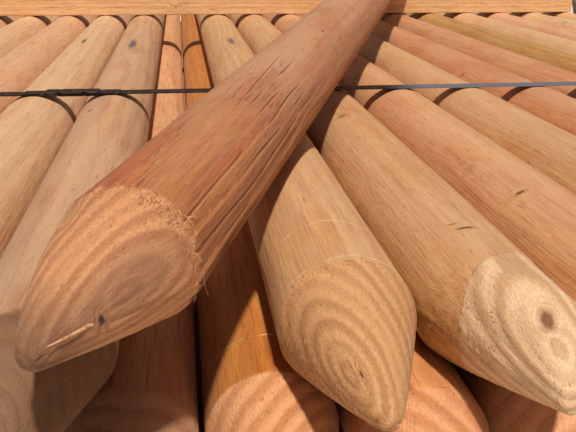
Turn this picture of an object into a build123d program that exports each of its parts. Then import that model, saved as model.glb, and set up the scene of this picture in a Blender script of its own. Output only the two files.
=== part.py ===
from build123d import *
import math
import os

os.makedirs("parts", exist_ok=True)

# A strapped pack of peeled round fence stakes, in millimetres.
# X runs across the pack, the stakes lie along Y with their points towards -Y, and Z is up.
# The origin is under the middle of the pack, at the underside of the straps.

# Round stakes, their section drawn with straight sides between points on the circle
stake_diameter = 70.0
stake_sides = 24
stake_length = 2500.0
point_length = 86.0
tip_diameter = 9.0

# Rows: a wide row on top and at every second row below it
row_count = 6
wide_row_count = 17
side_gap = 2.1
seat_gap = 0.3
empty_place = 5
tip_scatter = 7.0
tip_forward = 18.0
tip_back = 5.5

# Loose stake, pulled out of the top row and laid over the empty place
loose_diameter = 66.0
loose_yaw = 19.35
loose_overhang = 19.0

# Sawn batten across the top row
batten_height = 63.0
batten_thickness = 38.0
batten_inset = 26.0
batten_arris = 1.5
batten_from_tips = 1355.0

# Steel straps and their crimped seals
strap_width = 19.0
strap_thickness = 0.8
strap_from_tips = 530.0
strap_overlap = 90.0
seal_length = 50.0
seal_wall = 0.9
seal_clearance = 0.15
seal_lip_gap = 6.0
notch_depth = 2.5
notch_spacing = 24.0
front_seal_place = 3
rear_seal_row = 3

# Worked out from the sizes above
stake_radius = stake_diameter / 2
loose_radius = loose_diameter / 2
pitch = stake_diameter + side_gap
row_rise = math.sqrt((stake_diameter + seat_gap) ** 2 - (pitch / 2) ** 2)
bottom_row_z = strap_thickness + seat_gap + stake_radius
yaw = math.radians(loose_yaw)
rear_strap_from_tips = batten_from_tips + batten_thickness / 2
middle = (stake_length - loose_overhang) / 2

# Stakes beside and below the empty place, by row and place: how far each tip stands back
seen_setback = {
    (row_count, empty_place - 1): -tip_forward,
    (row_count, empty_place + 1): 0.0,
    (row_count, empty_place + 2): 0.0,
    (row_count - 1, empty_place - 1): 0.0,
    (row_count - 1, empty_place): tip_back,
    (row_count - 1, empty_place + 1): -tip_forward,
}


def places_in(row):
    """Places in a row: every second row down from the top has one fewer."""
    return wide_row_count - (row_count - row) % 2


def centre_x(row, place):
    """Where a stake's axis lies across the pack."""
    return (place - (places_in(row) - 1) / 2) * pitch


def centre_z(row):
    """Height of a row's stake axes."""
    return bottom_row_z + (row - 1) * row_rise


def setback(row, place):
    """How far a stake's tip stands behind the common line of tips."""
    scatter = tip_scatter * math.sin(2.4 * place + 1.7 * row)
    return seen_setback.get((row, place), scatter)


def round_stake(diameter):
    """One stake along +Y, with the middle of its blunt tip at the origin."""
    flats = math.cos(math.pi / stake_sides)
    point_taper = math.degrees(math.atan((diameter - tip_diameter) / 2 * flats / point_length))
    with BuildPart() as stake:
        with BuildSketch(Plane.XZ.offset(-point_length)):
            RegularPolygon(diameter / 2, stake_sides)
        extrude(amount=point_length, taper=point_taper)
        with BuildSketch(Plane.XZ.offset(-point_length)):
            RegularPolygon(diameter / 2, stake_sides)
        extrude(amount=point_length - stake_length)
    return stake.part


# Rows of stakes
blank = round_stake(stake_diameter)
for row in range(1, row_count + 1):
    filled = [n for n in range(places_in(row)) if (row, n) != (row_count, empty_place)]
    spots = [(centre_x(row, n), setback(row, n) - middle, centre_z(row)) for n in filled]
    with BuildPart() as stake_row:
        with Locations(*spots):
            add(blank)
    stake_row.part.label = f"stake_row_{row}"
    export_step(stake_row.part, f"parts/stake_row_{row}.step")


# Batten
crown_z = centre_z(row_count) + stake_radius
batten_base = crown_z + seat_gap
batten_top = batten_base + batten_height
pack_reach = (wide_row_count - 1) / 2 * pitch + stake_radius
batten_reach = pack_reach - batten_inset
with BuildPart() as batten:
    with Locations((0, rear_strap_from_tips - middle, batten_base + batten_height / 2)):
        Box(2 * batten_reach, batten_thickness, batten_height)
    chamfer(batten.edges(), batten_arris)
batten.part.label = "batten"
export_step(batten.part, "parts/batten.step")


# The loose stake bears on the crown of the stake right of the empty place, on the shoulder of
# the stake left of it, and at the back on the batten or on the strap that runs over the batten.
top_row_z = centre_z(row_count)
right_x = centre_x(row_count, empty_place + 1)
left_shoulder = Vector(
    centre_x(row_count, empty_place - 1),
    setback(row_count, empty_place - 1) + point_length,
    top_row_z,
)
bearing = stake_radius + loose_radius + seat_gap
back_edges = [
    (batten_from_tips, batten_top),
    (rear_strap_from_tips - strap_width / 2, batten_top + seat_gap + strap_thickness),
]


def loose_direction(slope):
    """The loose stake's axis, turned by its yaw and rising towards the back."""
    level = math.cos(slope)
    return Vector(math.sin(yaw) * level, math.cos(yaw) * level, math.sin(slope))


def settled_loose_stake():
    """Where the loose stake's axis passes over the right stake, and its slope, once it bears."""
    slope = 0.0
    cross = left_shoulder.Y + 4 * stake_diameter
    for _ in range(60):
        along = loose_direction(slope)
        lift = bearing * math.hypot(along.X, along.Z) / along.X
        crossing = Vector(right_x, cross, top_row_z + lift)
        back_lift = (loose_radius + seat_gap) * math.hypot(along.Y, along.Z) / along.Y
        slope = max(
            math.atan2((edge_z + back_lift - crossing.Z) * math.cos(yaw), edge_y - cross)
            for edge_y, edge_z in back_edges
        )
        apart = (crossing - left_shoulder).cross(along).length
        cross -= 2 * (bearing - apart)
    return crossing, slope


crossing, loose_slope = settled_loose_stake()
loose_along = loose_direction(loose_slope)
loose_tip = crossing - loose_along * ((crossing.Y + loose_overhang) / loose_along.Y)
level_side = Vector(math.cos(yaw), -math.sin(yaw), 0)
loose_plane = Plane(
    origin=loose_tip - Vector(0, middle, 0),
    x_dir=level_side,
    z_dir=level_side.cross(loose_along),
)

# Loose stake
loose_blank = round_stake(loose_diameter)
with BuildPart() as loose_stake:
    with Locations(loose_plane):
        add(loose_blank)
loose_stake.part.label = "loose_stake"
export_step(loose_stake.part, "parts/loose_stake.step")


# Straps: a closed band drawn tight round the outermost stakes, its free end lapped over it,
# and a seal crimped round both thicknesses
def end_corner(row, side):
    """The round corner that a row's outermost stake gives a strap: X, Z and radius."""
    return side * (places_in(row) - 1) / 2 * pitch, centre_z(row), stake_radius


def batten_corner(side):
    """The corner that the batten's upper edge gives a strap."""
    return side * (batten_reach - batten_arris), batten_top - batten_arris, batten_arris


def band_outline(corners, clearance):
    """The tight outline round corners listed anticlockwise, kept off each by the clearance."""
    headings = []
    for here, ahead in zip(corners, corners[1:] + corners[:1]):
        across, up = ahead[0] - here[0], ahead[1] - here[1]
        flare = math.asin((here[2] - ahead[2]) / math.hypot(across, up))
        headings.append(math.degrees(math.atan2(up, across) + flare))
    arrivals = headings[-1:] + headings[:-1]
    with BuildSketch() as outline:
        with BuildLine():
            bends = [
                CenterArc((x, z), radius + clearance, arrive - 90, (leave - arrive) % 360)
                for (x, z, radius), arrive, leave in zip(corners, arrivals, headings)
            ]
            for bend, next_bend in zip(bends, bends[1:] + bends[:1]):
                Line(bend @ 1, next_bend @ 0)
        make_face()
    return outline.sketch


def band_section(corners):
    """The band seen along the stakes: one strap thickness between two outlines."""
    with BuildSketch() as section:
        add(band_outline(corners, seat_gap + strap_thickness))
        add(band_outline(corners, seat_gap), mode=Mode.SUBTRACT)
    return section.sketch


def across_pack(from_tips):
    """An upright plane across the pack."""
    return Plane(origin=(0, from_tips - middle, 0), x_dir=(1, 0, 0), z_dir=(0, -1, 0))


# Where the bottom row is a narrow one, the ends of the row above it bear on the straps too
bottom_rows = [1] if places_in(1) == wide_row_count else [1, 2]
right_corners = [end_corner(row, 1) for row in bottom_rows + [row_count]]
left_corners = [end_corner(row, -1) for row in [row_count] + bottom_rows[::-1]]
batten_corners = [batten_corner(1), batten_corner(-1)]

# Where each seal sits on the outer face of its band: between two crowns at the front, and
# on the side at the back, level with a narrow row whose end stakes stand clear of the band
front_seal_x = (centre_x(row_count, front_seal_place) + centre_x(row_count, front_seal_place + 1)) / 2
front_seal_plane = Plane(
    origin=(front_seal_x, strap_from_tips - middle, crown_z + seat_gap + strap_thickness),
    x_dir=(1, 0, 0),
    z_dir=(0, 0, 1),
)
rear_seal_plane = Plane(
    origin=(
        pack_reach + seat_gap + strap_thickness,
        rear_strap_from_tips - middle,
        centre_z(rear_seal_row),
    ),
    x_dir=(0, 0, -1),
    z_dir=(1, 0, 0),
)

# Front strap
front_section = band_section(right_corners + left_corners)
with BuildPart() as strap_front:
    with BuildSketch(across_pack(strap_from_tips)):
        add(front_section)
    extrude(amount=strap_width / 2, both=True)
    with Locations(front_seal_plane):
        Box(strap_overlap, strap_width, strap_thickness, align=(Align.CENTER, Align.CENTER, Align.MIN))
strap_front.part.label = "strap_front"
export_step(strap_front.part, "parts/strap_front.step")

# Rear strap, over the batten
rear_section = band_section(right_corners + batten_corners + left_corners)
with BuildPart() as strap_rear:
    with BuildSketch(across_pack(rear_strap_from_tips)):
        add(rear_section)
    extrude(amount=strap_width / 2, both=True)
    with Locations(rear_seal_plane):
        Box(strap_overlap, strap_width, strap_thickness, align=(Align.CENTER, Align.CENTER, Align.MIN))
strap_rear.part.label = "strap_rear"
export_step(strap_rear.part, "parts/strap_rear.step")


# Seals
def crimped_sleeve():
    """A sleeve folded round two thicknesses of strap, notched by the crimping tool."""
    bore_width = strap_width + 2 * seal_clearance
    bore_height = 2 * (strap_thickness + seal_clearance)
    width = bore_width + 2 * seal_wall
    height = bore_height + 2 * seal_wall
    notches = [
        (along * notch_spacing / 2, side * width / 2) for along in (-1, 1) for side in (-1, 1)
    ]
    with BuildPart() as sleeve:
        Box(seal_length, width, height)
        chamfer(sleeve.edges().filter_by(Axis.X), seal_wall / 2)
        Box(seal_length, bore_width, bore_height, mode=Mode.SUBTRACT)
        with Locations((0, 0, -(bore_height + seal_wall) / 2)):
            Box(seal_length, seal_lip_gap, 2 * seal_wall, mode=Mode.SUBTRACT)
        with BuildSketch(Plane.XY.offset(-height / 2)):
            with Locations(*notches):
                RegularPolygon(notch_depth, 4)
        extrude(amount=height, mode=Mode.SUBTRACT)
    return sleeve.part


sleeve_blank = crimped_sleeve()
with BuildPart() as seal_front:
    with Locations(front_seal_plane):
        add(sleeve_blank)
seal_front.part.label = "seal_front"
export_step(seal_front.part, "parts/seal_front.step")

with BuildPart() as seal_rear:
    with Locations(rear_seal_plane):
        add(sleeve_blank)
seal_rear.part.label = "seal_rear"
export_step(seal_rear.part, "parts/seal_rear.step")
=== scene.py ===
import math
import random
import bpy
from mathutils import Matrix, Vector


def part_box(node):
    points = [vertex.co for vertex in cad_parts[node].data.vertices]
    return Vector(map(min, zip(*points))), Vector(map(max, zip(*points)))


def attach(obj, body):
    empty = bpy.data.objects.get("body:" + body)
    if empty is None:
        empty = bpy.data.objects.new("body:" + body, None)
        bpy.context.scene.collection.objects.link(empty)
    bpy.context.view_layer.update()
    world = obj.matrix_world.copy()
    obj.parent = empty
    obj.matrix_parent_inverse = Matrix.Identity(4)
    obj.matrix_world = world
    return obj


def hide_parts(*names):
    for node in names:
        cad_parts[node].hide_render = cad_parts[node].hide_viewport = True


bl_info = {
    "name": "Pack of pointed stakes",
    "version": (1, 0, 0),
    "blender": (4, 5, 0),
    "location": "3D View > Sidebar > Stakes",
    "description": "Dresses a strapped pack of softwood stakes, with a loose stake and a batten",
    "category": "Add Mesh",
}

import bmesh
import bpy
from bpy.props import FloatProperty, FloatVectorProperty, PointerProperty
from mathutils import Matrix, Vector, noise

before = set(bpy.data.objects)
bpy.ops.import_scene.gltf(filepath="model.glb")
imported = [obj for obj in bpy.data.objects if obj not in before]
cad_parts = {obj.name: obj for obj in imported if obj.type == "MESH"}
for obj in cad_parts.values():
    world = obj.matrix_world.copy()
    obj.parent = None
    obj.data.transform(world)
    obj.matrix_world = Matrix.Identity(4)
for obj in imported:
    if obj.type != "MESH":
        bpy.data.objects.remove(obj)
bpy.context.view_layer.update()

TURN = 2 * math.pi
MM = 0.001

# Sizes of the pack, in millimetres, that the stakes are dressed to
STAKE_RADIUS = 35.0
STAKE_LENGTH = 2500.0
LOOSE_OVERHANG = 19.0
LOOSE_RADIUS = 33.0
POINT_LENGTH = 86.0
TIP_RADIUS = 4.5
END_EDGE = 1.5
PITCH = 72.1
ROWS = 6
EMPTY_PLACE = 5

# Strips that the peeling knife leaves round a stake, and the share of a strip that its step takes
STRIPS = 30
STEP_SHARE = 0.16

# How far past its usual start a slanted cut may begin, and how far the worn tip reaches
CUT_SPREAD = 30.0
TIP_REACH = 8.0

# A distance from a scribed line, or a share of a knot's size, that draws nothing
FAR_OFF = 900.0

# Vertices nearer than this are one, in millimetres
SAME_POINT = 0.0005

# How finely each kind of stake is drawn: its sides, how deep its cut rings stand, and the
# spacing of its rows of vertices up to each distance from the tip
DETAIL = {
    "close": (176, 0.24, [(116, 1.2), (420, 3.0), (1400, 18.0), (2500, 180.0)]),
    "near": (96, 0.14, [(116, 2.4), (420, 6.0), (1400, 28.0), (2500, 180.0)]),
    "top": (72, 0.0, [(116, 4.0), (620, 9.0), (1400, 40.0), (2500, 180.0)]),
    "far": (30, 0.0, [(116, 8.0), (400, 140.0), (2500, 180.0)]),
}

# Blender's names for the kinds of node used below
MATH = "ShaderNodeMath"
VECTOR = "ShaderNodeVectorMath"
SPLIT = "ShaderNodeSeparateXYZ"
RANGE = "ShaderNodeMapRange"
NOISE = "ShaderNodeTexNoise"
WHITE = "ShaderNodeTexWhiteNoise"
RAMP = "ShaderNodeValToRGB"
MIX = "ShaderNodeMix"
READ = "ShaderNodeAttribute"
BUMP = "ShaderNodeBump"
SURFACE = "ShaderNodeBsdfPrincipled"
OUTPUT = "ShaderNodeOutputMaterial"

# Settings that many nodes share, and Blender's numbers for the sockets of a colour mix
TIMES = {"operation": "MULTIPLY"}
ONTO = {"operation": "MULTIPLY_ADD"}
SMOOTH = {"interpolation_type": "SMOOTHSTEP"}
TINT = {"data_type": "RGBA", "output": 2}
SHARE = 0
UNDER = 6
OVER = 7

# The sun: its power, its spread in degrees, its colour and the way to it; then the sky's fill
SUN_POWER = 3.85
SUN_SPREAD = 3.0
SUN_COLOUR = "#FFF1E0"
SUN_WAY = (0.012, -0.436, 0.9)
FILL_COLOUR = "#EEDDD2"
FILL_POWER = 0.23

# The camera that the pack is seen from: its right and its up, and then its place in metres
# across the pack, ahead of the tips and over the floor
CAMERA_RIGHT = (0.9913, -0.1306, 0.0046)
CAMERA_UP = (0.0386, 0.3262, 0.9445)
CAMERA_ACROSS = -0.2195
CAMERA_AHEAD = 0.2583
CAMERA_HEIGHT = 0.51588


def linear(hex_colour):
    """An sRGB hex colour as the four linear values that a shader takes."""
    values = []
    for start in (1, 3, 5):
        share = int(hex_colour[start:start + 2], 16) / 255
        values.append(share / 12.92 if share <= 0.04045 else ((share + 0.055) / 1.055) ** 2.4)
    return (*values, 1.0)


def ease(low, high, value):
    """Rises smoothly from 0 at low to 1 at high."""
    share = min(1.0, max(0.0, (value - low) / (high - low)))
    return share * share * (3 - 2 * share)


# Each wood tone's fresh cut and its dark summer rings; its shaft colour is a setting below
CUT_TONES = {
    "rosy": ("#D39A6D", "#9C5936"),
    # The fawn cut is dark as painted shade, for the point of top place 4 that lies in the loose
    # stake's shadow
    "fawn": ("#96693F", "#7C5236"),
    "khaki": ("#D2A06E", "#9C6636"),
    "straw": ("#E9CBA6", "#B07C48"),
    "salmon": ("#DFA77A", "#B2683D"),
    "rust": ("#D59A6E", "#A55F38"),
    "amber": ("#E4AB7C", "#A5642C"),
    "peach": ("#E2AE88", "#BC8258"),
    "olive": ("#D6AC74", "#8E6E38"),
    "cream": ("#E5C193", "#BD9462"),
    "sawn": ("#F0CB98", "#CF8C52"),
}


class StakeSizes(bpy.types.PropertyGroup):
    """Sizes of the finish on the stakes and the batten"""

    flute: FloatProperty(
        name="Flutes",
        description="Depth of the long hollows that peeling leaves along a stake",
        default=0.0006,
        min=0.0,
        unit="LENGTH",
    )
    tear: FloatProperty(
        name="Torn steps",
        description="Depth of the steps between torn strips of wood",
        default=0.0002,
        min=0.0,
        unit="LENGTH",
    )
    loose_flute: FloatProperty(
        name="Flutes, loose stake",
        description="Depth of the hollows along the loose stake",
        default=0.0014,
        min=0.0,
        unit="LENGTH",
    )
    loose_tear: FloatProperty(
        name="Torn steps, loose stake",
        description="Depth of the steps between torn strips of the loose stake",
        default=0.001,
        min=0.0,
        unit="LENGTH",
    )
    splinter: FloatProperty(
        name="Splinters",
        description="Usual length of the splinters on a cut edge",
        default=0.005,
        min=0.001,
        unit="LENGTH",
    )
    arris: FloatProperty(
        name="Batten arris",
        description="Radius of the batten's worn edges",
        default=0.0015,
        min=0.0002,
        unit="LENGTH",
    )


def shaft_colour(name, hex_colour):
    """A colour setting for the shafts of one wood tone."""
    return FloatVectorProperty(
        name=name,
        description=f"Colour of the peeled shaft of {name.lower()} wood",
        default=linear(hex_colour),
        size=4,
        min=0.0,
        max=1.0,
        subtype="COLOR",
    )


class StakeColours(bpy.types.PropertyGroup):
    """Colours of the wood, the strapping and the floor"""

    rosy: shaft_colour("Rosy", "#B4733A")
    fawn: shaft_colour("Fawn", "#D0A477")
    khaki: shaft_colour("Khaki", "#D9AC70")
    straw: shaft_colour("Straw", "#D3A46A")
    salmon: shaft_colour("Salmon", "#DAA26C")
    rust: shaft_colour("Rust", "#CF8D56")
    amber: shaft_colour("Amber", "#C6843A")
    peach: shaft_colour("Peach", "#E2B288")
    olive: shaft_colour("Olive", "#BE9248")
    cream: shaft_colour("Cream", "#E4C094")
    sawn: shaft_colour("Sawn", "#F8D6A8")
    strap: FloatVectorProperty(
        name="Strapping",
        description="Colour of the waxed steel strapping",
        default=linear("#241512"),
        size=4,
        min=0.0,
        max=1.0,
        subtype="COLOR",
    )
    floor: FloatVectorProperty(
        name="Floor",
        description="Colour of the studio floor",
        default=linear("#DAD7D1"),
        size=4,
        min=0.0,
        max=1.0,
        subtype="COLOR",
    )


class Stake:
    """One stake: where it lies, how its wood looks and how it was cut."""

    def __init__(self, tip, axis, radius, number, tone="straw", detail="far", **look):
        self.tip = Vector(tip)
        self.axis = Vector(axis).normalized()
        self.radius = radius
        self.number = number
        self.tone = tone
        self.sides, relief, self.rows = DETAIL[detail]
        turn = 2.4 * number
        self.pith = look.get("pith", (11 * math.cos(turn), 9 * math.sin(turn)))
        self.ring = look.get("ring", 3.8 + 1.2 * math.sin(1.7 * number) ** 2)
        self.flute = look.get("flute", 0.6)
        self.tear = look.get("tear", 0.2)
        self.lean = look.get("lean", (0.0, 0.0))
        self.tilt = look.get("tilt", (0.0, 0.0))
        self.belly = look.get("belly", (0.0, 0.0))
        self.weather_and_sheen = look.get("weather_and_sheen", 0.0)
        self.fresh = look.get("fresh", 0.0)
        self.heart_and_shade = look.get("heart_and_shade", 0.0)
        self.relief = look.get("relief", relief)
        self.ragged = look.get("ragged", 0.15)
        self.skim = look.get("skim", (0.0, 0.0))
        self.painted_tip_shade = look.get("painted_tip_shade", (0.0, 1.0))
        self.scribes = look.get("scribes", ())
        self.knots = look.get("knots", ())

    def place(self):
        """The matrix that carries the blank, in millimetres, to its place in metres."""
        side = self.axis.cross(Vector((0, 0, 1))).normalized()
        up = side.cross(self.axis)
        turn = Matrix((side, self.axis, up)).transposed().to_4x4()
        return Matrix.Translation(self.tip) @ turn @ Matrix.Scale(MM, 4)


def pith_at(stake, along):
    """Where the growth rings are centred, at a distance from the tip."""
    swing = 2 * math.sin(along / 210 + stake.number) - 2 * math.sin(stake.number + 0.2)
    sway = 2 * math.cos(along / 260 + 2 * stake.number) - 2 * math.cos(2 * stake.number + 0.2)
    return stake.pith[0] + swing, stake.pith[1] + sway


def ripple(across, upward, turns, along, shift=0.0):
    """Smooth noise round a stake and along it, the same on every run, from -1 to 1."""
    return noise.noise(Vector((turns * across + shift, along, turns * upward)))


def strip_drift(stake, across, upward, along):
    """How far the torn strips have wandered round the stake, counted in strips."""
    shift = 31.7 * stake.number
    slow = ripple(across, upward, 1.2, along / 260 + shift)
    quick = ripple(across, upward, 2.6, along / 75 - shift)
    return 1.3 * slow + 0.3 * quick + along / 600


def tear_at(stake, across, upward, along):
    """How deeply the wood is torn, in patches along the stake."""
    patch = ripple(across, upward, 1.5, along / 130, 13.3 * stake.number)
    return stake.tear * ease(-0.45, 0.15, patch) * (0.25 + 0.75 * ease(440, 220, along))


def shaft_radius(stake, across, upward, along, drift, tear):
    """The peeled shaft's radius, with its long flutes and the steps of torn wood."""
    shift = 31.7 * stake.number
    broad = 0.5 + 0.5 * ripple(across, upward, 1.3, along / 380 + shift)
    groove = ripple(across, upward, 3.4, along / 170 + shift)
    step = STRIPS * math.atan2(across, upward) / TURN + drift
    step -= math.floor(step)
    fall = 1 - STEP_SHARE
    ledge = step / fall if step < fall else (1 - step) / STEP_SHARE
    return stake.radius - 0.5 * broad - stake.flute * max(0.0, groove) - tear * ledge


def point_radius(stake, across, upward, along):
    """The radius that the cutter head leaves on the point."""
    share = along / POINT_LENGTH
    inner = min(1.0, share)
    lean = (across * stake.lean[0] + upward * stake.lean[1]) * (1 - inner)
    belly = max(0.0, across * stake.belly[0] + upward * stake.belly[1])
    tilt = share * (across * stake.tilt[0] + upward * stake.tilt[1])
    swell = 0.7 * math.sin(math.pi * inner) + 4 * belly * inner * (1 - inner) + tilt
    rough = ripple(across, upward, 9, along / 14, 17.3 * stake.number)
    rough *= stake.ragged * ease(0, 0.5, share)
    return TIP_RADIUS + share * (stake.radius - TIP_RADIUS) + swell + lean + rough


def surface_radius(stake, across, upward, along):
    """The finished radius, how deep the cut is there, the strips' drift and how torn they are."""
    drift = strip_drift(stake, across, upward, along)
    tear = tear_at(stake, across, upward, along)
    shaft = shaft_radius(stake, across, upward, along, drift, tear)
    if along > POINT_LENGTH + CUT_SPREAD:
        return shaft, 0.0, drift, tear
    depth = shaft - point_radius(stake, across, upward, along)
    radius = shaft - max(0.0, depth)
    if stake.skim[0]:
        depth = min(0.4, (stake.skim[0] + stake.skim[1] * across - along) / 8)
        radius = min(radius, shaft - max(0.0, depth))
    return radius, depth, drift, tear


def knot_at(stake, across, upward, along, radius):
    """The nearest knot's distance, as a share of its half size, and its colour."""
    nearest, colour = FAR_OFF, "#5A4030"
    for where, degrees, length, width, tint in stake.knots:
        if abs(along - where) > 4 * length:
            continue
        aside = (math.atan2(across, upward) - math.radians(degrees) + math.pi) % TURN - math.pi
        share = math.hypot((along - where) / length, aside * radius / width)
        if share < nearest:
            nearest, colour = share, tint
    return nearest, colour


def ring_share(stake, across, upward, wander):
    """How near a point is to a hard summer ring, from 0 to 1."""
    count = (math.hypot(across, upward) + wander) / stake.ring
    part = count - math.floor(count)
    return ease(0.12, 0.6, part) * (1 - ease(0.7, 1.0, part))


def knot_span(knot):
    """How far along the stake, each way from a knot, the mesh is finer."""
    return 3 * knot[2] + 4


def stake_blank(mesh, stake):
    """A plain turned stake from one outline, spun about its own axis."""
    stops = {POINT_LENGTH, STAKE_LENGTH - END_EDGE}
    stops.update(float(reach) for reach, _ in stake.rows[:-1])
    for knot in stake.knots:
        stops.update((max(1.0, knot[0] - knot_span(knot)), knot[0] + knot_span(knot)))
    corners = [(0.0, 0.0, 1), (TIP_RADIUS, 0.0, 3)]
    for stop in sorted(stops):
        middle = (corners[-1][1] + stop) / 2
        spacing = next(step for reach, step in stake.rows if middle < reach)
        for knot in stake.knots:
            if abs(middle - knot[0]) < knot_span(knot):
                spacing = min(spacing, max(0.7, knot[2] / 3))
        parts = max(1, round((stop - corners[-1][1]) / spacing))
        radius = TIP_RADIUS + min(1.0, stop / POINT_LENGTH) * (stake.radius - TIP_RADIUS)
        corners.append((radius, stop, parts))
    corners += [(stake.radius - END_EDGE, STAKE_LENGTH, 1), (0.0, STAKE_LENGTH, 4)]
    for (radius, along, _), (next_radius, next_along, parts) in zip(corners, corners[1:]):
        ends = [mesh.verts.new((radius, along, 0)), mesh.verts.new((next_radius, next_along, 0))]
        edge = mesh.edges.new(ends)
        if parts > 1:
            bmesh.ops.subdivide_edges(mesh, edges=[edge], cuts=parts - 1)
    bmesh.ops.remove_doubles(mesh, verts=mesh.verts, dist=SAME_POINT)
    bmesh.ops.spin(
        mesh,
        geom=mesh.verts[:] + mesh.edges[:],
        cent=(0, 0, 0),
        axis=(0, 1, 0),
        dvec=(0, 0, 0),
        angle=TURN,
        steps=stake.sides,
        use_merge=True,
    )
    bmesh.ops.remove_doubles(mesh, verts=mesh.verts, dist=SAME_POINT)
    bmesh.ops.recalc_face_normals(mesh, faces=mesh.faces)


# What each vector layer holds: the place from the pith; the ring wander, ring width and cut;
# the direction out and the strips' drift; tear, the grey-pink top (weathering, and a painted sky
# sheen) and knot; the distances from two scribed lines, and how dark the core of the cut is
# (heartwood, and painted shade)
VECTOR_LAYERS = ("grain", "rings", "round", "wear_and_sheen", "lines")
COLOUR_LAYERS = ("tone", "summer", "knot_tint")


def wood_layers(mesh):
    """The vertex layers that the wood finishes read."""
    vectors = [mesh.verts.layers.float_vector.new(name) for name in VECTOR_LAYERS]
    colours = [mesh.verts.layers.float_color.new(name) for name in COLOUR_LAYERS]
    return vectors + colours


def shape_stake(mesh, stake, layers, tones):
    """Shapes a blank's vertices and gives each its grain, rings and colour."""
    grain, rings, round_, wear_and_sheen, lines, tone_layer, summer_layer, knot_layer = layers
    shaft_tone, cut_tone, ring_tone = tones
    shift = 3000.0 * stake.number
    upright = stake.place().to_3x3()
    for vert in mesh.verts:
        radius = math.hypot(vert.co.x, vert.co.z)
        along = vert.co.y
        pith = pith_at(stake, along)
        across = vert.co.x / radius if radius > 0.01 else 0.0
        upward = vert.co.z / radius if radius > 0.01 else 0.0
        wander = 1.2 * ripple(across, upward, 1.6, along / 130 + shift)
        target, depth, drift, tear = surface_radius(stake, across, upward, along)
        knot, knot_colour = knot_at(stake, across, upward, along, max(radius, TIP_RADIUS))
        bulge = math.exp(-knot * knot)
        wander += 1.5 * stake.ring * math.exp(-(knot / 1.7) ** 2)
        cut = ease(-0.05, 0.35, depth)
        if along > STAKE_LENGTH - END_EDGE / 2:
            cut = 1.0
            target = radius
        elif along < 0.1:
            cut = 1.0
            target *= radius / TIP_RADIUS
        else:
            here = (across * target - pith[0], upward * target - pith[1])
            target += cut * stake.relief * (ring_share(stake, *here, wander) - 1)
            target += 0.45 * bulge * (1 - cut)
        if along < TIP_REACH:
            dome = min(1.0, radius / TIP_RADIUS) ** 2 * (1 - along / TIP_REACH)
            frayed = ripple(across, upward, 2, stake.number + along / 3)
            vert.co.y += dome * (2.4 + 1.4 * frayed)
        vert.co.x = across * target
        vert.co.z = upward * target
        top = (upright @ Vector((across, 0, upward))).z / MM
        # Grey-pink on the upward faces, less on the cut and near the point: weathering, and a
        # painted sky sheen
        weather_and_sheen = stake.weather_and_sheen * ease(0.1, 1.0, top) * (1 - 0.7 * cut)
        weather_and_sheen *= 1 - stake.fresh * ease(330, 120, along)
        scribes = [along - where for where in stake.scribes] + [FAR_OFF, FAR_OFF]
        vert[grain] = (vert.co.x - pith[0], along + shift, vert.co.z - pith[1])
        vert[rings] = (wander, stake.ring, cut)
        vert[round_] = (across, upward, drift)
        vert[wear_and_sheen] = (tear * (1 - cut), weather_and_sheen, min(knot, 9.0))
        vert[lines] = (scribes[0], scribes[1], stake.heart_and_shade)
        # Painted shade: the wood and its rings are darkened towards the tip, where shade falls on
        # it
        painted_tip_shade = 1 - stake.painted_tip_shade[0] * ease(stake.painted_tip_shade[1], 0, along)
        vert[tone_layer] = shaft_tone.lerp(cut_tone, cut) * painted_tip_shade
        vert[summer_layer] = ring_tone * painted_tip_shade
        vert[knot_layer] = linear(knot_colour)


def finish_piece(name, mesh, material):
    """Makes a bmesh a finished object of the pack."""
    for face in mesh.faces:
        face.smooth = True
    shape = bpy.data.meshes.new(name)
    mesh.to_mesh(shape)
    mesh.free()
    shape.set_sharp_from_angle(angle=math.radians(50))
    shape.materials.append(material)
    piece = bpy.data.objects.new(name, shape)
    bpy.context.scene.collection.objects.link(piece)
    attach(piece, "root")
    return piece


def wood_tones(colours, tone):
    """A tone's shaft, cut and ring colours."""
    cut, ring = CUT_TONES[tone]
    return Vector(getattr(colours, tone)), Vector(linear(cut)), Vector(linear(ring))


def make_stakes(name, stakes):
    """One object that holds the given stakes."""
    colours = bpy.context.scene.stake_colours
    whole = bmesh.new()
    wood_layers(whole)
    for stake in stakes:
        mesh = bmesh.new()
        layers = wood_layers(mesh)
        stake_blank(mesh, stake)
        shape_stake(mesh, stake, layers, wood_tones(colours, stake.tone))
        bmesh.ops.transform(mesh, matrix=stake.place(), verts=mesh.verts)
        part = bpy.data.meshes.new(name + "_part")
        mesh.to_mesh(part)
        mesh.free()
        whole.from_mesh(part)
        bpy.data.meshes.remove(part)
    return finish_piece(name, whole, wood("Peeled softwood"))


# Where the batten's one knot shows on its front, from the middle of that face
BATTEN_KNOT = (-226.0, -18.0)


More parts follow.
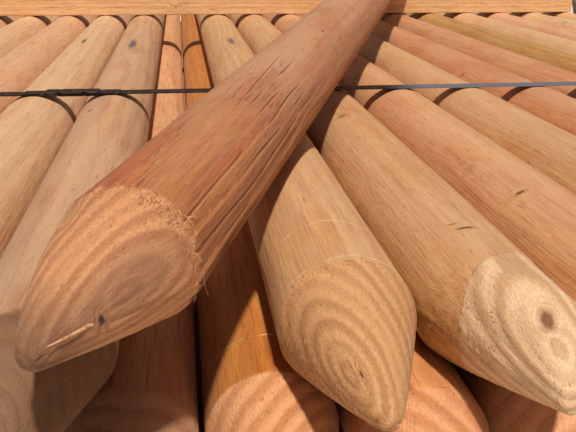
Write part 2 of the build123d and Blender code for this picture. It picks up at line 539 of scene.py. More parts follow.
def make_batten(name):
    """The sawn batten: a board with worn edges and a rough, slightly uneven face."""
    low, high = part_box("batten")
    size = (high - low) / MM
    mesh = bmesh.new()
    layers = wood_layers(mesh)
    grain, rings, round_, wear_and_sheen, lines, tone_layer, summer_layer, knot_layer = layers
    bmesh.ops.create_cube(mesh, size=1.0)
    bmesh.ops.scale(mesh, vec=size, verts=mesh.verts)
    bmesh.ops.bevel(
        mesh,
        geom=mesh.edges[:],
        offset=bpy.context.scene.stake_sizes.arris / MM,
        segments=3,
        profile=0.5,
        affect="EDGES",
        material=-1,
    )
    for side, parts in ((0, 300), (1, 6), (2, 12)):
        long_edges = [
            edge
            for edge in mesh.edges
            if abs(edge.verts[0].co[side] - edge.verts[1].co[side]) > 0.8 * size[side]
        ]
        bmesh.ops.subdivide_edges(mesh, edges=long_edges, cuts=parts, use_grid_fill=True)
    bmesh.ops.recalc_face_normals(mesh, faces=mesh.faces)
    shaft_tone, cut_tone, ring_tone = wood_tones(bpy.context.scene.stake_colours, "sawn")
    for vert in mesh.verts:
        place = vert.co.copy()
        rough = 0.3 + 0.3 * noise.noise(Vector((place.x / 30, place.y / 6, place.z / 6)))
        vert.co -= rough * vert.normal
        bow = 2 * math.sin(place.x / 260) + 0.6 * math.sin(place.x / 90 + 1)
        end = ease(0.3, 0.9, abs(vert.normal.x))
        knot = math.hypot((place.x - BATTEN_KNOT[0]) / 5, (place.z - BATTEN_KNOT[1]) / 3)
        knot = max(knot, ease(0, 6, place.y + size.y / 2) * 9)
        bend = 5 * math.exp(-(knot / 2) ** 2)
        vert[grain] = (place.y + 75, place.x, place.z + 30 + bow)
        vert[rings] = (bend, 2.1, end)
        vert[round_] = (0.0, 1.0, 0.0)
        vert[wear_and_sheen] = (0.0, 0.0, min(knot, 9.0))
        vert[lines] = (FAR_OFF, FAR_OFF, 0.0)
        vert[tone_layer] = shaft_tone.lerp(cut_tone, end)
        vert[summer_layer] = ring_tone
        vert[knot_layer] = linear("#9A5E2C")
    middle = Matrix.Translation((low + high) / 2) @ Matrix.Scale(MM, 4)
    bmesh.ops.transform(mesh, matrix=middle, verts=mesh.verts)
    return finish_piece(name, mesh, wood("Sawn softwood"))


def add_splinter(whole, part, stake, along, degrees, length, width, heading, lift, sag=0.0):
    """A splinter on a stake's surface: it heads off from its root and lifts as it goes."""
    mesh = bmesh.new()
    bmesh.ops.create_cone(
        mesh,
        cap_ends=True,
        segments=4,
        radius1=width / 2,
        radius2=width / 8,
        depth=length,
    )
    sides = [
        edge
        for edge in mesh.edges
        if abs(edge.verts[0].co.z - edge.verts[1].co.z) > 0.9 * length
    ]
    bmesh.ops.subdivide_edges(mesh, edges=sides, cuts=2)
    angle = math.radians(degrees)
    outward = Vector((math.sin(angle), 0, math.cos(angle)))
    around = Vector((math.cos(angle), 0, -math.sin(angle)))
    radius = surface_radius(stake, outward.x, outward.z, along)[0]
    way = Vector((0, math.cos(heading), 0)) + around * math.sin(heading)
    side = way.cross(outward)
    root = outward * (radius - 0.2) + Vector((0, along, 0))
    place = stake.place()
    for vert in mesh.verts:
        share = vert.co.z / length + 0.5
        rise = lift * share - sag * share * share
        spot = root + way * (share * length) + side * vert.co.x
        spot += outward * (rise + min(0.6, 0.4 / width) * vert.co.y)
        vert.co = place @ spot
    mesh.to_mesh(part)
    mesh.free()
    whole.from_mesh(part)


def add_fringe(whole, part, stake, fringe, usual):
    """A fringe of small torn fibres over a patch of a stake's surface."""
    count, (start, end), (left, right), scale, forward = fringe
    dice = random.Random(1000 * stake.number + count)
    for _ in range(count):
        length = scale * usual * dice.uniform(0.4, 1.5)
        heading = dice.gauss(math.pi if forward else 0.0, 0.45)
        add_splinter(
            whole,
            part,
            stake,
            dice.uniform(start, end),
            dice.uniform(left, right),
            length,
            dice.uniform(0.18, 0.4),
            heading,
            length * dice.uniform(0.0, 0.16),
        )


def add(tree, kind, inputs=(), output=0, stops=(), **settings):
    """Adds a node with its settings and returns the wanted output, or all of them for None.

    An input is a plain value, or an output to link from."""
    node = tree.nodes.new(kind)
    for name, value in settings.items():
        setattr(node, name, value)
    for name, value in inputs.items() if isinstance(inputs, dict) else enumerate(inputs):
        if isinstance(value, bpy.types.NodeSocket):
            tree.links.new(value, node.inputs[name])
        else:
            node.inputs[name].default_value = value
    for number, (where, colour) in enumerate(stops):
        if number >= len(node.color_ramp.elements):
            node.color_ramp.elements.new(where)
        node.color_ramp.elements[number].position = where
        node.color_ramp.elements[number].color = linear(colour)
    return node.outputs if output is None else node.outputs[output]


def empty_material(name):
    """A new material and its empty node tree."""
    material = bpy.data.materials.new(name)
    material.use_nodes = True
    material.node_tree.nodes.clear()
    return material, material.node_tree


def wood(name):
    """A wood finish by name, made when it is first asked for."""
    return bpy.data.materials.get(name) or softwood(name, sawn=name.startswith("Sawn"))


# Patterns of cells drawn out along the grain: how wide and how long a cell is, in millimetres,
# and its other settings
CELLS = {
    # The frayed edge of the cut
    "fray": (1.5, 5, {"Detail": 2.0}),
    # How the growth rings bend, in the broad and in small
    "bend": (20, 110, {}),
    "shiver": (2, 7, {"Detail": 3.0}),
    # Fibres, and strands of them
    "fibre": (0.5, 18, {"Detail": 3.0, "Roughness": 0.65}),
    "strand": (1.7, 60, {"Detail": 4.0, "Roughness": 0.65}),
    # Blotches of resin and damp
    "blotch": (30, 110, {"Detail": 4.0, "Roughness": 0.6}),
    # Wool of cut fibre ends
    "wool": (0.7, 4, {"Detail": 3.0, "Roughness": 0.7}),
    # Pecks that the cutter tears out of the early wood, and the patches that they come in
    "peck": (1.3, 2.6, {"Detail": 1.0, "Distortion": 0.6}),
    "patch": (12, 16, {"Detail": 1.0}),
    # Small checks along the shaft
    "check": (1.5, 16, {"Detail": 1.0}),
    # Pale scuffs that curl
    "scuff": (3, 22, {"Detail": 2.0, "Distortion": 2.0}),
    # Breaks in the slits between torn strips
    "broken": (9, 110, {"Detail": 2.0}),
    # How scribed lines waver and fade
    "shake": (14, 400, {}),
    "faint": (5, 5, {"Detail": 3.0}),
}


def softwood(name, sawn):
    """Softwood drawn from growth rings about the pith, which the surface cuts as in real timber.

    Peeled larch is warm and matt. Its summer rings are dark lines along the shaft and stand
    proud on the cut point; its shaft is fibrous, torn in long strips and grey-pink on top, from
    weathering and a painted sky sheen.
    Sawn softwood is paler, with straight grain and the marks of the saw across it."""
    material, tree = empty_material(name)

    grain = add(tree, READ, output="Vector", attribute_name="grain")
    rings = add(tree, READ, output="Vector", attribute_name="rings")
    wander, width, cut = add(tree, SPLIT, [rings], output=None)[:3]
    facing = add(tree, READ, output="Vector", attribute_name="round")
    across, upward, drift = add(tree, SPLIT, [facing], output=None)[:3]
    wear_and_sheen = add(tree, READ, output="Vector", attribute_name="wear_and_sheen")
    tear, top, knot = add(tree, SPLIT, [wear_and_sheen], output=None)[:3]
    lines = add(tree, READ, output="Vector", attribute_name="lines")
    scribe, scribe_two, heart_and_shade = add(tree, SPLIT, [lines], output=None)[:3]
    colour = add(tree, READ, output="Color", attribute_name="tone")
    summer = add(tree, READ, output="Color", attribute_name="summer")
    knot_tint = add(tree, READ, output="Color", attribute_name="knot_tint")

    cells = {}
    for part, (wide, long, detail) in CELLS.items():
        place = add(tree, VECTOR, [grain, (1 / wide, 1 / long, 1 / wide)], **TIMES)
        cells[part] = add(tree, NOISE, {"Vector": place, "Scale": 1.0, **detail})

    # The cut's frayed edge, and what it leaves of the shaft's skin
    frayed = add(tree, MATH, [cells["fray"], 0.9, cut], **ONTO)
    cut = add(tree, RANGE, [frayed, 0.7, 1.05, 0, 1], **SMOOTH)
    uncut = add(tree, MATH, [1.0, cut], operation="SUBTRACT")

    # Growth rings round the pith, some years stronger than others
    flat = add(tree, VECTOR, [grain, (1, 0, 1)], **TIMES)
    radius = add(tree, VECTOR, [flat], output=1, operation="LENGTH")
    reach = add(tree, MATH, [radius, wander], operation="ADD")
    reach = add(tree, MATH, [cells["bend"], 1.2, reach], **ONTO)
    reach = add(tree, MATH, [cells["shiver"], 0.5, reach], **ONTO)
    count = add(tree, MATH, [reach, width], operation="DIVIDE")
    part = add(tree, MATH, [count], operation="FRACT")
    rise = add(tree, RANGE, [part, 0.12, 0.62, 0, 1], **SMOOTH)
    fall = add(tree, RANGE, [part, 0.74, 1.0, 1, 0], **SMOOTH)
    late = add(tree, MATH, [rise, fall], **TIMES)
    year = add(tree, MATH, [count], operation="FLOOR")
    vigour = add(tree, WHITE, {"W": year}, noise_dimensions="1D")
    vigour = add(tree, RANGE, [vigour, 0, 1, 0.45, 1.0])
    late = add(tree, MATH, [late, vigour], **TIMES)
    show = 0.6 if sawn else add(tree, RANGE, [cut, 0, 1, 0.4, 0.6])
    shown = add(tree, MATH, [late, show], **TIMES)

    # Pecks in the cut, patch by patch
    peck = add(tree, RANGE, [cells["peck"], 0.64, 0.74, 0, 1], **SMOOTH)
    patch = add(tree, RANGE, [cells["patch"], 0.45, 0.6, 0, 1], **SMOOTH)
    peck = add(tree, MATH, [peck, patch], **TIMES)
    peck = add(tree, MATH, [peck, cut], **TIMES)
    # Checks along the shaft, more where it is torn
    deep = add(tree, RANGE, [tear, 0.05, 0.8, 0, 1], **SMOOTH)
    check = add(tree, MATH, [deep, 0.09, cells["check"]], **ONTO)
    check = add(tree, RANGE, [check, 0.7, 0.77, 0, 1], **SMOOTH)
    check = add(tree, MATH, [check, uncut], **TIMES)
    scuff = add(tree, RANGE, [cells["scuff"], 0.65, 0.78, 0, 0.4], **SMOOTH)
    scuff = add(tree, MATH, [scuff, uncut], **TIMES)

    # Torn strips, with a slit at each step that breaks off in places: the slit is painted dark as
    # shade, and the proud lip after it pale as a highlight
    angle = add(tree, MATH, [across, upward], operation="ARCTAN2")
    strip = add(tree, MATH, [angle, STRIPS / TURN, drift], **ONTO)
    step = add(tree, MATH, [strip], operation="FRACT")
    strip = add(tree, MATH, [strip], operation="FLOOR")
    strip = add(tree, WHITE, {"W": strip}, noise_dimensions="1D")
    broken = add(tree, RANGE, [cells["broken"], 0.42, 0.54, 0, 1], **SMOOTH)
    # Painted shade in the slit at each step
    slit = add(tree, RANGE, [step, 0.8, 0.9, 0, 1], **SMOOTH)
    shut = add(tree, RANGE, [step, 0.92, 0.99, 1, 0], **SMOOTH)
    slit = add(tree, MATH, [slit, shut], **TIMES)
    slit = add(tree, MATH, [slit, broken], **TIMES)
    slit = add(tree, MATH, [slit, deep], **TIMES)
    # Painted highlight on the proud lip at the start of each strip
    painted_lip_highlight = add(tree, RANGE, [step, 0.0, 0.12, 1, 0], **SMOOTH)
    painted_lip_highlight = add(tree, MATH, [painted_lip_highlight, deep], **TIMES)

    # Colour: the rings, then five layers that darken or tint it, from the broad to the fine
    colour = add(tree, MIX, {SHARE: shown, UNDER: colour, OVER: summer}, **TINT)
    torn = add(tree, MATH, [deep, 0.85], **TIMES)
    warm = add(tree, RAMP, [strip], stops=((0.1, "#FAD4B2"), (0.5, "#FFFFFF"), (0.9, "#EADCD4")))
    damp = add(tree, MATH, [uncut, 0.8], **TIMES)
    stops = ((0.36, "#F8E6D8"), (0.52, "#FFFFFF"), (0.66, "#FAF4E0"))
    stain = add(tree, RAMP, [cells["blotch"]], stops=stops)
    drawn = add(tree, RANGE, [cut, 0, 1, 0.85, 0.25])
    stops = ((0.36, "#DEBEA4"), (0.5, "#FFFFFF"), (0.64, "#FFF8EC"))
    streak = add(tree, RAMP, [cells["strand"]], stops=stops)
    fine = add(tree, RANGE, [cells["fibre"], 0.3, 0.7, 0.78, 1.16])
    fluff = add(tree, RANGE, [cells["wool"], 0.3, 0.7, 0.86, 1.1])
    for share, layer in ((torn, warm), (damp, stain), (drawn, streak), (1.0, fine), (cut, fluff)):
        layers = {SHARE: share, UNDER: colour, OVER: layer}
        colour = add(tree, MIX, layers, blend_type="MULTIPLY", **TINT)

    # Marks laid over it: the grey-pink top (weathering, and a painted sky sheen), the darker core
    # (heartwood, and painted shade), pecks, checks, scuffs, and on the strips a painted highlight
    # on each lip and painted shade in each slit
    # The grey-pink top: weathering, and a painted sky sheen on the upward faces
    weather_and_sheen_cover = add(tree, RANGE, [cells["blotch"], 0.36, 0.6, 0.24, 0.42], **SMOOTH)
    weather_and_sheen_cover = add(tree, MATH, [weather_and_sheen_cover, top], **TIMES)
    # A darker core round the pith on the cut: heartwood, and painted shade of the cut
    heart_and_shade_core = add(tree, RANGE, [radius, 17.0, 4.0, 0, 1], **SMOOTH)
    heart_and_shade_core = add(tree, MATH, [heart_and_shade_core, heart_and_shade], **TIMES)
    heart_and_shade_core = add(tree, MATH, [heart_and_shade_core, cut], **TIMES)
    marks = (
        (weather_and_sheen_cover, 1.0, "#D2B096"),
        (heart_and_shade_core, 1.0, "#86604C"),
        (peck, 0.35, "#8A5230"),
        (check, 0.5, "#7A4526"),
        (scuff, 1.0, "#E9C6A2"),
        (painted_lip_highlight, 0.22, "#E8BE92"),
        (slit, 0.8, "#5A2E1A"),
    )
    for mark, strength, shade in marks:
        share = add(tree, MATH, [mark, strength], **TIMES)
        colour = add(tree, MIX, {SHARE: share, UNDER: colour, OVER: linear(shade)}, **TINT)

    # Knots: a dark core with a frayed rim, and rings of grain that lie close round it
    rim = add(tree, MATH, [cells["fray"], 0.5, knot], **ONTO)
    hole = add(tree, RANGE, [rim, 1.4, 0.6, 0, 1], **SMOOTH)
    wave = add(tree, MATH, [rim, 11.0], **TIMES)
    wave = add(tree, MATH, [wave], operation="SINE")
    wave = add(tree, RANGE, [wave, -0.2, 1.0, 0, 1], **SMOOTH)
    halo = add(tree, RANGE, [rim, 2.9, 1.3, 0, 0.3], **SMOOTH)
    wave = add(tree, MATH, [wave, halo], **TIMES)
    colour = add(tree, MIX, {SHARE: wave, UNDER: colour, OVER: summer}, **TINT)
    share = add(tree, MATH, [hole, 0.92], **TIMES)
    colour = add(tree, MIX, {SHARE: share, UNDER: colour, OVER: knot_tint}, **TINT)

    # Scribed lines round the stake, 0.8 mm wide, that waver and fade in places
    shake = add(tree, RANGE, [cells["shake"], 0, 1, -2.5, 2.5])
    faint = add(tree, RANGE, [cells["faint"], 0.36, 0.66, 0, 0.85], **SMOOTH)
    for line in (scribe, scribe_two):
        off = add(tree, MATH, [line, shake], operation="ADD")
        off = add(tree, MATH, [off], operation="ABSOLUTE")
        near = add(tree, RANGE, [off, 0.7, 0.15, 0, 1], **SMOOTH)
        near = add(tree, MATH, [near, faint], **TIMES)
        colour = add(tree, MIX, {SHARE: near, UNDER: colour, OVER: linear("#EFD9B8")}, **TINT)

    # Relief, in shares of the bump's 0.6 mm
    height = add(tree, MATH, [late, cut], **TIMES)
    fluff = add(tree, MATH, [cells["wool"], cut], **TIMES)
    forms = (cells["fibre"], cells["strand"], peck, slit, hole, fluff)
    for form, depth in zip(forms, (0.9, 0.9, -0.6, -1.6, -0.5, 0.6)):
        height = add(tree, MATH, [form, depth, height], **ONTO)
    if sawn:
        # Saw marks 2.6 mm apart, slightly aslant across the board
        depth, run, _ = add(tree, SPLIT, [grain], output=None)[:3]
        slant = add(tree, MATH, [depth, 0.12, run], **ONTO)
        teeth = add(tree, MATH, [slant, TURN / 2.6], **TIMES)
        teeth = add(tree, MATH, [teeth], operation="SINE")
        height = add(tree, MATH, [teeth, 0.25, height], **ONTO)
    relief = add(tree, BUMP, {"Height": height, "Distance": 0.6 * MM, "Strength": 0.75}, "Normal")
    rough = add(tree, RANGE, [cells["strand"], 0.3, 0.7, 0.72, 0.52])
    surface = {"Base Color": colour, "Normal": relief, "Roughness": rough}
    surface.update({"IOR": 1.45, "Sheen Weight": 0.08, "Sheen Roughness": 0.5})
    shader = add(tree, SURFACE, surface, "BSDF")
    add(tree, OUTPUT, {"Surface": shader}, output=None)
    return material


def torn_fibre():
    """Torn softwood fibre: pale, dry and matt, a little darker along some strands."""
    material, tree = empty_material("Torn softwood fibre")
    place = add(tree, "ShaderNodeTexCoord", output="Object")
    # Strands 3 mm apart
    mottle = add(tree, NOISE, {"Vector": place, "Scale": 330.0, "Detail": 2.0})
    stops = ((0.35, "#AC7042"), (0.6, "#E2B890"))
    colour = add(tree, RAMP, [mottle], stops=stops)
    rough = add(tree, RANGE, [mottle, 0.3, 0.7, 0.6, 0.8])
    relief = add(tree, BUMP, {"Height": mottle, "Distance": 0.0002, "Strength": 0.4}, "Normal")
    surface = {"Base Color": colour, "Roughness": rough, "Normal": relief, "IOR": 1.45}
    shader = add(tree, SURFACE, surface, "BSDF")
    add(tree, OUTPUT, {"Surface": shader}, output=None)
    return material


def strap_steel(name, dents):
    """Waxed steel strapping: near black, with a dull shine in scuffed streaks, and a painted
    blue-grey sky reflection on its right.
    """
    material, tree = empty_material(name)
    place = add(tree, "ShaderNodeTexCoord", output="Object")
    # Scuffs 8 mm long and dents 12 mm apart
    scuff = add(tree, NOISE, {"Vector": place, "Scale": 120.0, "Detail": 5.0, "Roughness": 0.65})
    dent = add(tree, NOISE, {"Vector": place, "Scale": 85.0, "Detail": 1.0})
    dark = tuple(bpy.context.scene.stake_colours.strap)
    worn = add(tree, RANGE, [scuff, 0.52, 0.68, 0, 0.6], **SMOOTH)
    across = add(tree, SPLIT, [place])
    # Painted reflection: right of the loose stake the strap is painted blue-grey, the sky's
    # reflection on it
    painted_sky_reflection = add(tree, RANGE, [across, -0.02, 0.03, 0, 1], **SMOOTH)
    colour = add(tree, MIX, {SHARE: worn, UNDER: dark, OVER: linear("#6A5A54")}, **TINT)
    colour = add(tree, MIX, {SHARE: painted_sky_reflection, UNDER: colour, OVER: linear("#8C93AC")}, **TINT)
    rough = add(tree, RANGE, [scuff, 0.3, 0.7, 0.5, 0.3])
    height = add(tree, MATH, [dent, dents, scuff], **ONTO)
    relief = add(tree, BUMP, {"Height": height, "Distance": 0.0004, "Strength": 0.7}, "Normal")
    surface = {"Base Color": colour, "Roughness": rough, "Normal": relief, "Metallic": 0.6}
    shader = add(tree, SURFACE, surface, "BSDF")
    add(tree, OUTPUT, {"Surface": shader}, output=None)
    return material


def floor_paint():
    """Matt floor paint: pale and even, with a faint roller texture."""
    material, tree = empty_material("Matt floor paint")
    place = add(tree, "ShaderNodeTexCoord", output="Object")
    # Roller texture 4 mm apart
    roller = add(tree, NOISE, {"Vector": place, "Scale": 250.0, "Detail": 2.0})
    relief = add(tree, BUMP, {"Height": roller, "Distance": 0.0002, "Strength": 0.2}, "Normal")
    surface = {"Base Color": tuple(bpy.context.scene.stake_colours.floor), "Normal": relief}
    surface["Roughness"] = 0.9
    shader = add(tree, SURFACE, surface, "BSDF")
    add(tree, OUTPUT, {"Surface": shader}, output=None)
    return material


def tips_of(node):
    """The tip of each stake in a row, in metres, by its place from the left."""
    low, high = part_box(node)
    reach = STAKE_RADIUS * MM
    step = PITCH * MM
    points = [vert.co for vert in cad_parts[node].data.vertices]
    found = {}
    for place in range(round((high.x - low.x - 2 * reach) / step) + 1):
        x = low.x + reach + place * step
        own = [point.y for point in points if abs(point.x - x) < 0.7 * reach]
        if own:
            found[place] = Vector((x, min(own), (low.z + high.z) / 2))
    return found


def loose_line():
    """The loose stake's tip and its direction, from the flat ends of its CAD node.

    The points within 0.6 mm of an end lie on its disc, whose middle is on the axis."""
    points = [vert.co.copy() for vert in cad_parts["loose_stake"].data.vertices]
    front = min(points, key=lambda point: point.y)
    back = max(points, key=lambda point: (point - front).length)
    axis = (back - front).normalized()
    for _ in range(3):
        ends = []
        for sign in (1, -1):
            edge = min(sign * point.dot(axis) for point in points)
            disc = [point for point in points if sign * point.dot(axis) < edge + 0.6 * MM]
            low = Vector([min(point[i] for point in disc) for i in range(3)])
            high = Vector([max(point[i] for point in disc) for i in range(3)])
            ends.append((low + high) / 2)
        axis = (ends[1] - ends[0]).normalized()
    return ends[0], axis


# How the top row's stakes look, by place. On the point, lean moves the tip, tilt slants the cut
# and belly rounds it out, each in millimetres to the right and up. skim is where the cut's
# surface starts and how much later it does on the right. flute, tear and ragged are how deep
# the flutes, the torn strips and the roughness of the cut are, in millimetres. The weather and
# sheen setting is how grey-pink the top is, from weathering and a painted sky sheen; the heart
# and shade setting is how dark the core of the cut is, from heartwood and painted shade. The tip
# shade setting is how much darker the wood is painted towards the tip, as painted shade, and from
# where. fresh is how much of the grey-pink top the wood near the point lacks.
# A knot is its distance from the tip, its angle from the top towards the right, its half
# length and half width, and its colour.
TOP_LOOKS = {
    0: {"tone": "peach", "detail": "top"},
    1: {"tone": "cream", "detail": "top"},
    2: {"tone": "peach", "detail": "top", "knots": [(700, -20, 6, 2, "#8E6A48")]},
    3: {
        "tone": "cream",
        "detail": "near",
        "tear": 0.25,
        "weather_and_sheen": 1.3,
        "knots": [(960, 3, 34, 3.4, "#3E4438"), (610, -30, 5, 2, "#8A6A50")],
    },
    4: {
        "tone": "fawn",
        "detail": "near",
        "tear": 0.3,
        "weather_and_sheen": 1.3,
        "belly": (-4, 4),
        "tilt": (-3, 3),
        "relief": 0.05,
        "painted_tip_shade": (0.5, 240),
        "knots": [(930, 3, 60, 6.5, "#57525A"), (478, -22, 5, 3, "#5A4A36")],
    },
    6: {
        "tone": "khaki",
        "detail": "close",
        "pith": (-10.8, 8.4),
        "ring": 4.3,
        "scribes": (90.0, 141.0),
        "knots": [
            (933, -3, 46, 6, "#6A5E64"),
            (470, 20, 3, 1.5, "#7A5436"),
            (22, -36, 3.2, 0.6, "#5C3018"),
        ],
    },
    7: {
        "tone": "straw",
        "detail": "close",
        "pith": (2.2, 20.4),
        "ring": 5.4,
        "lean": (3.2, 3.0),
        "tilt": (4.0, 3.0),
        "belly": (5.0, 5.7),
        "skim": (84, 20),
        "tear": 0.15,
        "ragged": 0.35,
        "knots": [
            (31.5, 6, 6.0, 2.5, "#7A452A"),
            (410, -19, 7, 5, "#857456"),
            (120, -5, 2.0, 7.0, "#5E4A26"),
            (128, -13, 1.2, 3.5, "#94683A"),
        ],
    },
    8: {
        "tone": "salmon",
        "detail": "near",
        "knots": [(265, -40, 5, 4, "#B08458"), (194, -28, 2.4, 5, "#5E3018")],
    },
    9: {"tone": "straw", "detail": "top", "knots": [(577, -30, 7, 4, "#C88A54")]},
    10: {"tone": "rust", "detail": "top", "knots": [(674, -50, 5, 2, "#8C4E30")]},
    11: {"tone": "rust", "detail": "top"},
    12: {"tone": "olive", "detail": "top", "weather_and_sheen": 0.4},
    13: {"tone": "cream", "detail": "top"},
    14: {"tone": "peach", "detail": "top"},
    15: {"tone": "cream", "detail": "top", "knots": [(1180, -25, 10, 5, "#A89070")]},
    16: {"tone": "cream", "detail": "top"},
}
SECOND_LOOKS = {
    3: {"tone": "salmon", "detail": "near"},
    4: {"tone": "peach", "detail": "near", "painted_tip_shade": (0.55, 200)},
    5: {
        "tone": "amber",
        "detail": "near",
        "scribes": (124.0,),
        "pith": (11.0, -2.0),
        "ring": 4.4,
    },
    6: {"tone": "salmon", "detail": "near", "ring": 5.0},
}
LOOSE_LOOK = {
    "tone": "rosy",
    "detail": "close",
    "pith": (15.5, 7.5),
    "ring": 5.0,
    "weather_and_sheen": 1.2,
    "fresh": 0.65,
    "heart_and_shade": 0.65,
    "lean": (-3.6, -0.4),
    "tilt": (0.8, 0.8),
    "belly": (-2.4, 0.8),
    "ragged": 0.45,
    "painted_tip_shade": (0.6, 38),
    "knots": [
        (27.5, 83, 1.4, 3.6, "#24120B"),
        (67, -34, 6, 2.2, "#B0905C"),
        (463, 59, 8, 5, "#8E7068"),
        (477, 28, 5, 1.4, "#5C3626"),
    ],
}
LOWER_TONES = ["straw", "salmon", "peach", "khaki", "amber", "rust", "cream", "fawn"]

# Fringes of torn fibre, by place in the top row: how many, from where to where along the stake
# and round it, their length as a share of the usual, and whether they point to the tip
FRINGES = {
    4: [(60, (60, 84), (-20, 90), 0.4, True)],
    6: [
        (160, (78, 90), (-60, 100), 0.36, True),
        (160, (15, 88), (66, 110), 0.4, False),
        (280, (15, 86), (-120, -72), 0.5, True),
        (110, (2, 15), (-180, 180), 0.6, False),
    ],
    7: [
        (260, (40, 90), (-100, -35), 0.5, True),
        (90, (80, 92), (-60, 60), 0.34, True),
        (60, (88, 170), (-80, -50), 0.9, False),
        (60, (2, 14), (-180, 180), 0.6, False),
    ],
    8: [(60, (78, 90), (-80, 20), 0.4, True)],
}
LOOSE_FRINGES = [
    (420, (74, 85), (20, 104), 0.5, True),
    (60, (78, 86), (20, 100), 0.4, False),
    (140, (74, 85), (-40, 20), 0.4, True),
    (16, (4, 9), (-180, 180), 0.4, False),
]

# Single splinters and shavings on the loose stake: distance from the tip, angle, length, width,
# heading, lift and sag
SHAVINGS = [
    (582, 21, 21, 0.9, 0.45, 1.0, 0.4),
    (596, 30, 12, 0.7, 0.9, 1.4, 0.6),
    (559, 56, 19, 0.9, 1.05, 1.2, 0.8),
    (240, 40, 8, 0.7, 1.0, 0.8, 0.0),
    (83, 50, 5, 0.8, 1.9, 2.0, 1.0),
    (84, 54, 4, 0.9, 0.6, 2.2, 0.4),
    (85, 104, 7, 3.4, 2.2, 2.6, -2.0),
    (24, 78, 21, 1.6, 3.3, -4.0, 2.5),
]


class PACK_OT_stage(bpy.types.Operator):
    """Makes the floor, the lights and the camera"""

    bl_idname = "pack.stage"
    bl_label = "Stage"

    def execute(self, context):
        mesh = bmesh.new()
        bmesh.ops.create_grid(mesh, x_segments=1, y_segments=1, size=12.0)
        sheet = bpy.data.meshes.new("studio_floor")
        mesh.to_mesh(sheet)
        mesh.free()
        sheet.materials.append(floor_paint())
        floor = bpy.data.objects.new("studio_floor", sheet)
        context.scene.collection.objects.link(floor)

        world = bpy.data.worlds.new("Studio")
        context.scene.world = world
        world.use_nodes = True
        fill = world.node_tree.nodes["Background"]
        fill.inputs["Color"].default_value = linear(FILL_COLOUR)
        fill.inputs["Strength"].default_value = FILL_POWER
        context.scene.view_settings.view_transform = "Standard"

        key = bpy.data.lights.new("key", "SUN")
        key.energy = SUN_POWER
        key.angle = math.radians(SUN_SPREAD)
        key.color = linear(SUN_COLOUR)[:3]
        lamp = bpy.data.objects.new("key", key)
        context.scene.collection.objects.link(lamp)
        lamp.rotation_mode = "QUATERNION"
        lamp.rotation_quaternion = Vector(SUN_WAY).to_track_quat("Z", "Y")

        camera = bpy.data.cameras.new("camera")
        camera.lens = 50.0
        camera.sensor_width = 36.0
        camera.clip_start = 0.02
        view = bpy.data.objects.new("camera", camera)
        context.scene.collection.objects.link(view)
        right = Vector(CAMERA_RIGHT)
        up = Vector(CAMERA_UP)
        back = right.cross(up).normalized()
        up = back.cross(right).normalized()
        turn = Matrix((right.normalized(), up, back)).transposed().to_4x4()
        tips = -(STAKE_LENGTH - LOOSE_OVERHANG) / 2 * MM
        place = (CAMERA_ACROSS, tips - CAMERA_AHEAD, CAMERA_HEIGHT)
        view.matrix_world = Matrix.Translation(place) @ turn
        context.scene.camera = view
        return {"FINISHED"}


class PACK_OT_lower_rows(bpy.types.Operator):
    """Makes the stakes below the top row, one piece a row"""

    bl_idname = "pack.lower_rows"
    bl_label = "Lower rows"

    def execute(self, context):
        for row in range(1, ROWS):
            node = f"stake_row_{row}"
            stakes = []
            for place, tip in tips_of(node).items():
                look = {"tone": LOWER_TONES[(5 * place + 3 * row) % 8]}
                if row == ROWS - 1:
                    look = SECOND_LOOKS.get(place, look)
                stakes.append(Stake(tip, (0, 1, 0), STAKE_RADIUS, 20 * row + place, **look))
            piece = make_stakes(f"stakes_row_{row}", stakes)
            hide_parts(node)
        return {"FINISHED"}


def top_stake(place, tip, sizes):
    """A stake of the top row."""
    look = {"flute": sizes.flute / MM, "tear": sizes.tear / MM, "weather_and_sheen": 1.0}
    look.update(TOP_LOOKS[place])
    return Stake(tip, (0, 1, 0), STAKE_RADIUS, 120 + place, **look)


def loose_stake(sizes):
    """The stake that lies across the pack."""
    tip, axis = loose_line()
    look = {"flute": sizes.loose_flute / MM, "tear": sizes.loose_tear / MM}
    look.update(LOOSE_LOOK)
    return Stake(tip, axis, LOOSE_RADIUS, 150, **look)


class PACK_OT_top_row(bpy.types.Operator):
    """Makes the stakes of the top row, each a piece of its own"""

    bl_idname = "pack.top_row"
    bl_label = "Top row"

    def execute(self, context):
        node = f"stake_row_{ROWS}"
        for place, tip in tips_of(node).items():
            if place != EMPTY_PLACE:
                stake = top_stake(place, tip, context.scene.stake_sizes)
                piece = make_stakes(f"stake_top_{place:02d}", [stake])
                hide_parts(node)
        return {"FINISHED"}


class PACK_OT_loose_stake(bpy.types.Operator):
    """Makes the stake that lies across the pack"""

    bl_idname = "pack.loose_stake"
    bl_label = "Loose stake"

    def execute(self, context):
        piece = make_stakes("stake_loose", [loose_stake(context.scene.stake_sizes)])
        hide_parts("loose_stake")
        return {"FINISHED"}


class PACK_OT_splinters(bpy.types.Operator):
    """Makes the torn fibres on the cut edges and the shavings on the loose stake"""

    bl_idname = "pack.splinters"
    bl_label = "Splinters"

    def execute(self, context):
        sizes = context.scene.stake_sizes
        usual = sizes.splinter / MM
        tips = tips_of(f"stake_row_{ROWS}")
        dressed = [(top_stake(place, tips[place], sizes), FRINGES[place]) for place in FRINGES]
        loose = loose_stake(sizes)
        dressed.append((loose, LOOSE_FRINGES))
        mesh = bmesh.new()
        part = bpy.data.meshes.new("splinter_part")
        for stake, fringes in dressed:
            for fringe in fringes:
                add_fringe(mesh, part, stake, fringe, usual)
        for shaving in SHAVINGS:
            add_splinter(mesh, part, loose, *shaving)
        bpy.data.meshes.remove(part)
        bmesh.ops.recalc_face_normals(mesh, faces=mesh.faces)
        piece = finish_piece("splinters", mesh, torn_fibre())
        return {"FINISHED"}


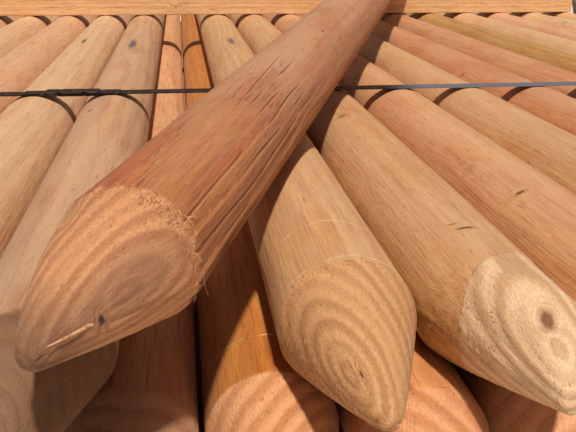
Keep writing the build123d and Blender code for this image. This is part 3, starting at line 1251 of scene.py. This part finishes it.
class PACK_OT_batten(bpy.types.Operator):
    """Makes the batten under the rear strap"""

    bl_idname = "pack.batten"
    bl_label = "Batten"

    def execute(self, context):
        piece = make_batten("batten_board")
        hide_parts("batten")
        return {"FINISHED"}


class PACK_OT_straps(bpy.types.Operator):
    """Finishes the straps and their seals"""

    bl_idname = "pack.straps"
    bl_label = "Straps"

    def execute(self, context):
        finishes = {
            "strap": strap_steel("Waxed steel strapping", 0.6),
            "seal": strap_steel("Crimped steel seal", 3.0),
        }
        for node in ("strap_front", "strap_rear", "seal_front", "seal_rear"):
            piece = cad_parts[node]
            piece.data.materials.clear()
            piece.data.materials.append(finishes[node.split("_")[0]])
        return {"FINISHED"}


class PACK_PT_panel(bpy.types.Panel):
    """Lists the settings and the steps that dress the pack"""

    bl_label = "Pack of stakes"
    bl_idname = "PACK_PT_panel"
    bl_space_type = "VIEW_3D"
    bl_region_type = "UI"
    bl_category = "Stakes"

    def draw(self, context):
        for settings in (context.scene.stake_sizes, context.scene.stake_colours):
            for name in settings.__annotations__:
                self.layout.prop(settings, name)
        for step in STEPS:
            self.layout.operator(step.bl_idname)


STEPS = [
    PACK_OT_stage,
    PACK_OT_lower_rows,
    PACK_OT_top_row,
    PACK_OT_loose_stake,
    PACK_OT_splinters,
    PACK_OT_batten,
    PACK_OT_straps,
]
CLASSES = [StakeSizes, StakeColours, *STEPS, PACK_PT_panel]


def register():
    for item in CLASSES:
        bpy.utils.register_class(item)
    bpy.types.Scene.stake_sizes = PointerProperty(type=StakeSizes)
    bpy.types.Scene.stake_colours = PointerProperty(type=StakeColours)


def unregister():
    del bpy.types.Scene.stake_colours
    del bpy.types.Scene.stake_sizes
    for item in reversed(CLASSES):
        bpy.utils.unregister_class(item)


def main():
    register()
    bpy.ops.pack.stage()
    bpy.ops.pack.lower_rows()
    bpy.ops.pack.top_row()
    bpy.ops.pack.loose_stake()
    bpy.ops.pack.splinters()
    bpy.ops.pack.batten()
    bpy.ops.pack.straps()


if __name__ == "__main__":
    main()
